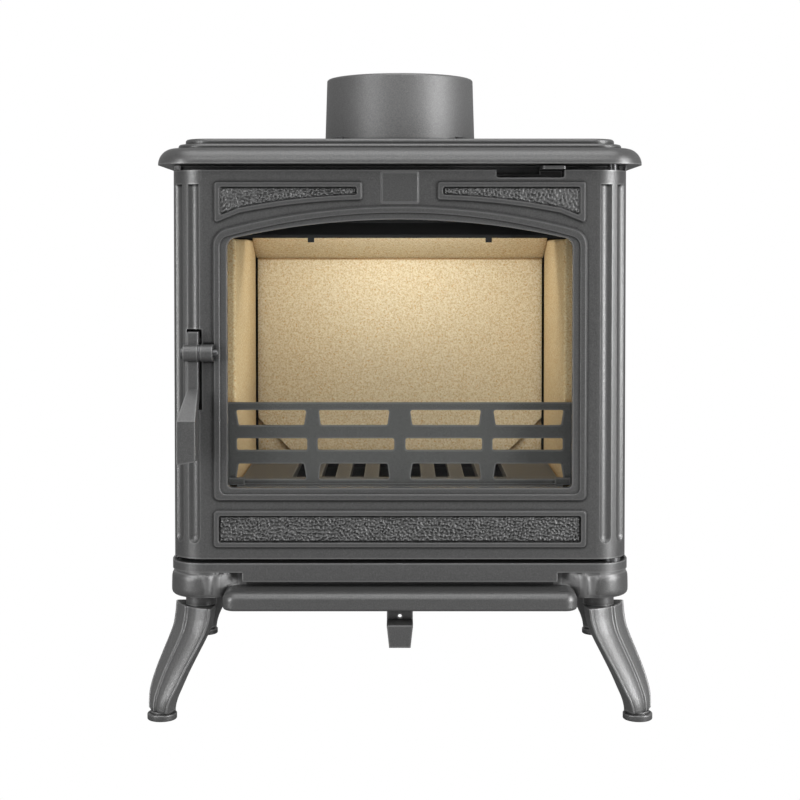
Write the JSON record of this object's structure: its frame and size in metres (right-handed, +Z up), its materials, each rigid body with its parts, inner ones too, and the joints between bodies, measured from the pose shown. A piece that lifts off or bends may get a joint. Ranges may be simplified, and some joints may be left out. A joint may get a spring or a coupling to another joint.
{
  "type": "wood stove",
  "caption": "Small cast iron wood stove on splayed cabriole legs, with a glazed full-width door, latch lever, air sliders, lined firebox and top flue collar.",
  "frame": {"origin": "on the hearth, under the middle of the overall width and depth", "axes": "+X to the right seen from the front, -Y out of the front with the door, +Z up"},
  "size_m": [0.463, 0.379, 0.602],
  "materials": {
    "stove_paint": "satin graphite stove paint with a fine metallic fleck",
    "raw_iron": "matt dark cast iron",
    "sheet_steel": "matt black painted sheet steel",
    "fixings": "dark painted steel fixings",
    "vermiculite": "matt pressed vermiculite board, pale yellow tan with orange specks",
    "glass": "clear polished ceramic glass",
    "rope": "dark knitted glass rope"
  },
  "bodies": {
    "casing": {"air_slider_guides": "sheet_steel", "air_wash_deflector": "sheet_steel", "ash_chamber_left": "sheet_steel", "ash_chamber_right": "sheet_steel", "ash_pan": "sheet_steel", "ash_shelf": "stove_paint", "back_brick": "vermiculite", "baffle_bar": "raw_iron", "baffle_board": "vermiculite", "base_casting": "stove_paint", "blanking_plate_bolts": "fixings", "collar_bolts": "fixings", "collar_ring": "stove_paint", "corner_brick_left": "vermiculite", "corner_brick_right": "vermiculite", "fire_bars": "raw_iron", "firebox_floor": "raw_iron", "flue_collar": "stove_paint", "foot_pad_front_left": "stove_paint", "foot_pad_front_right": "stove_paint", "foot_pad_rear_left": "stove_paint", "foot_pad_rear_right": "stove_paint", "frame_screws": "fixings", "front_frame": "stove_paint", "grate": "raw_iron", "hinge_pin_lower": "fixings", "hinge_pin_upper": "fixings", "latch_catch": "stove_paint", "leg_bolts": "fixings", "leg_front_left": "stove_paint", "leg_front_right": "stove_paint", "leg_rear_left": "stove_paint", "leg_rear_right": "stove_paint", "primary_air_runners": "sheet_steel", "rear_blanking_plate": "stove_paint", "rear_liner": "sheet_steel", "rear_panel": "stove_paint", "shelf_bolts": "fixings", "side_brick_left": "vermiculite", "side_brick_right": "vermiculite", "side_panel_left": "stove_paint", "side_panel_right": "stove_paint", "tie_rods": "fixings", "top_plate": "stove_paint"},
    "door": {"door_casting": "stove_paint", "door_plaque": "stove_paint", "door_rope_seal": "rope", "door_glass": "glass", "glass_gasket": "rope", "glass_clips": "fixings", "glass_clip_screws": "fixings", "latch_pivot_pin": "fixings", "latch_washer": "fixings"},
    "latch": {"latch_lever": "stove_paint"},
    "air_wash": {"air_wash_slider": "stove_paint"},
    "primary_air": {"primary_air_slider": "stove_paint"}
  },
  "joints": [
    {"name": "door_hinge", "type": "hinge", "parent": "casing", "child": "door", "pos_m": [0.196, -0.1355, 0.3], "axis": [0, 0, 1], "range_deg": [0, 110]},
    {"name": "latch_pivot", "type": "hinge", "parent": "door", "child": "latch", "pos_m": [-0.188, -0.1575, 0.3357], "axis": [-1, 0, 0], "range_deg": [0, 50]},
    {"name": "air_wash_slide", "type": "slide", "parent": "casing", "child": "air_wash", "axis": [-1, 0, 0], "range_m": [0, 0.041]},
    {"name": "primary_air_slide", "type": "slide", "parent": "casing", "child": "primary_air", "axis": [0, -1, 0], "range_m": [0, 0.028]}
  ]
}
